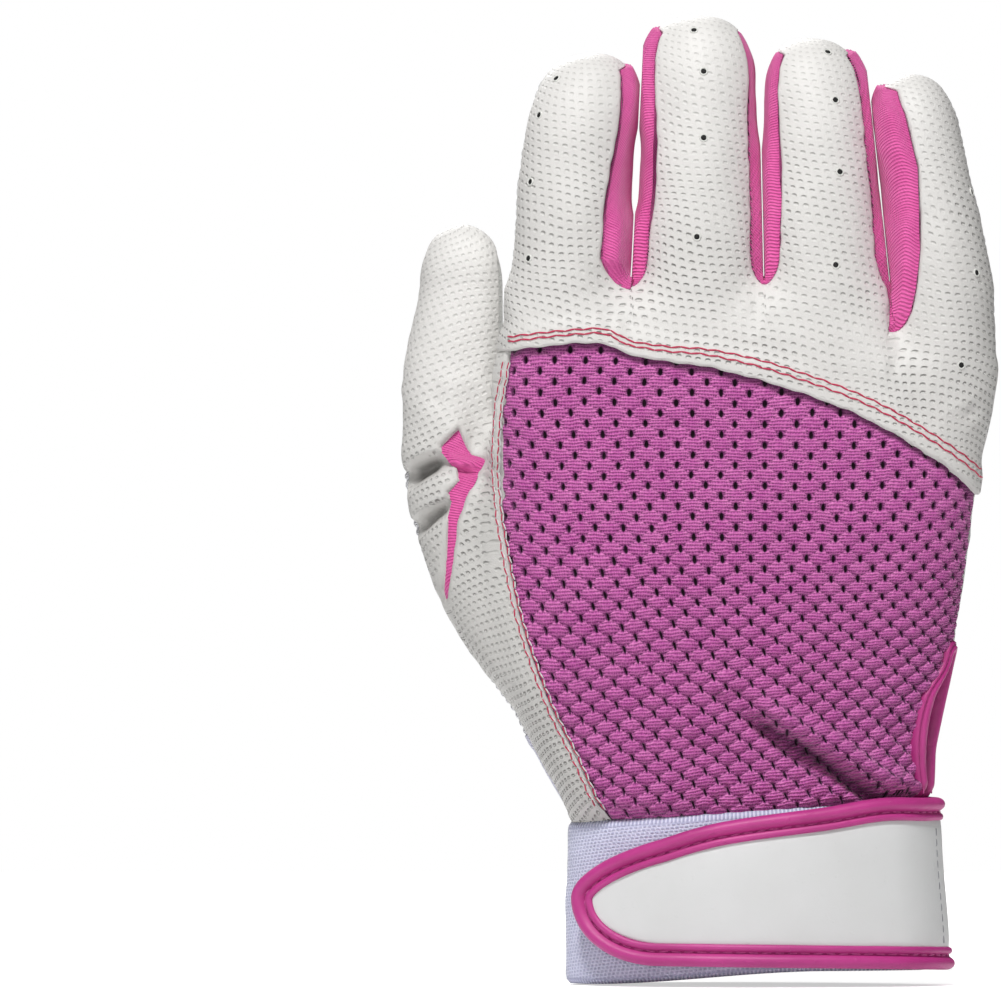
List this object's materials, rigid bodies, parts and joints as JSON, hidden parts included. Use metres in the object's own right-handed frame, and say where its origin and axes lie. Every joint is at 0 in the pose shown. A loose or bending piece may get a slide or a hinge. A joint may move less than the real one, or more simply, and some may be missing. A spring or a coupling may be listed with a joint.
{
  "type": "batting glove",
  "caption": "Right-hand youth batting glove, worn shape: embossed white leather, open mesh back, stretch fourchettes, elastic cuff and a bound hook-and-loop wrist strap.",
  "frame": {"origin": "centre of the wrist opening, in the plane of the cuff's lower rim", "axes": "+Z from the wrist to the fingertips, +Y out of the palm, -Y out of the back of the hand, +X from the thumb to the little finger"},
  "size_m": [0.1103, 0.0463, 0.1796],
  "materials": {
    "white_leather": "embossed soft leather, satin",
    "pink_knit": "four-way stretch knit",
    "orchid_mesh": "open spacer mesh knit",
    "magenta_binding": "folded binding tape",
    "lavender_elastic": "woven elastic and spandex",
    "hook_and_loop": "hook-and-loop tape",
    "white_strap": "smooth coated synthetic leather, semi-gloss"
  },
  "bodies": {
    "hand": {"palm_panel": "white_leather", "knuckle_panel": "white_leather", "back_mesh": "orchid_mesh", "thumb_panel": "white_leather", "thumb_gusset": "pink_knit", "wrist_rib": "lavender_elastic", "wrist_gusset": "lavender_elastic", "vent_binding": "magenta_binding", "index_middle_fourchette": "pink_knit", "middle_ring_fourchette": "pink_knit", "ring_little_fourchette": "pink_knit", "cuff_band": "lavender_elastic", "loop_patch": "hook_and_loop"},
    "strap": {"strap_hook_patch": "hook_and_loop", "strap_lining": "hook_and_loop", "strap_face": "white_strap", "strap_binding": "magenta_binding"},
    "thumb": {"thumb_tip_palm": "white_leather", "thumb_tip_back": "white_leather"},
    "index": {"index_tip_palm": "white_leather", "index_tip_back": "white_leather", "index_tip_fourchette": "pink_knit"},
    "middle": {"middle_tip_palm": "white_leather", "middle_tip_back": "white_leather", "middle_tip_fourchette": "pink_knit"},
    "ring": {"ring_tip_palm": "white_leather", "ring_tip_back": "white_leather", "ring_tip_fourchette": "pink_knit"},
    "little": {"little_tip_palm": "white_leather", "little_tip_back": "white_leather", "little_tip_fourchette": "pink_knit"}
  },
  "joints": [
    {"name": "index_curl", "type": "hinge", "parent": "hand", "child": "index", "pos_m": [-0.03268, 0.01053, 0.14585], "axis": [-1, 0, 0], "range_deg": [0, 85], "stiffness_Nm_per_rad": 0.01},
    {"name": "middle_curl", "type": "hinge", "parent": "hand", "child": "middle", "pos_m": [-0.0095, 0.0107, 0.14885], "axis": [-1, 0, 0], "range_deg": [0, 85], "stiffness_Nm_per_rad": 0.01},
    {"name": "ring_curl", "type": "hinge", "parent": "hand", "child": "ring", "pos_m": [0.01341, 0.01058, 0.14685], "axis": [-1, 0, 0], "range_deg": [0, 85], "stiffness_Nm_per_rad": 0.01},
    {"name": "little_curl", "type": "hinge", "parent": "hand", "child": "little", "pos_m": [0.03442, 0.01033, 0.13885], "axis": [-1, 0, 0], "range_deg": [0, 85], "stiffness_Nm_per_rad": 0.01},
    {"name": "thumb_curl", "type": "hinge", "parent": "hand", "child": "thumb", "pos_m": [-0.0558, 0.0229, 0.11385], "axis": [-1, 0, 0], "range_deg": [0, 60], "stiffness_Nm_per_rad": 0.01},
    {"name": "strap_peel", "type": "hinge", "parent": "hand", "child": "strap", "pos_m": [0.0381, 0.0001, 0.018], "axis": [0, 0, 1], "range_deg": [0, 150]}
  ]
}
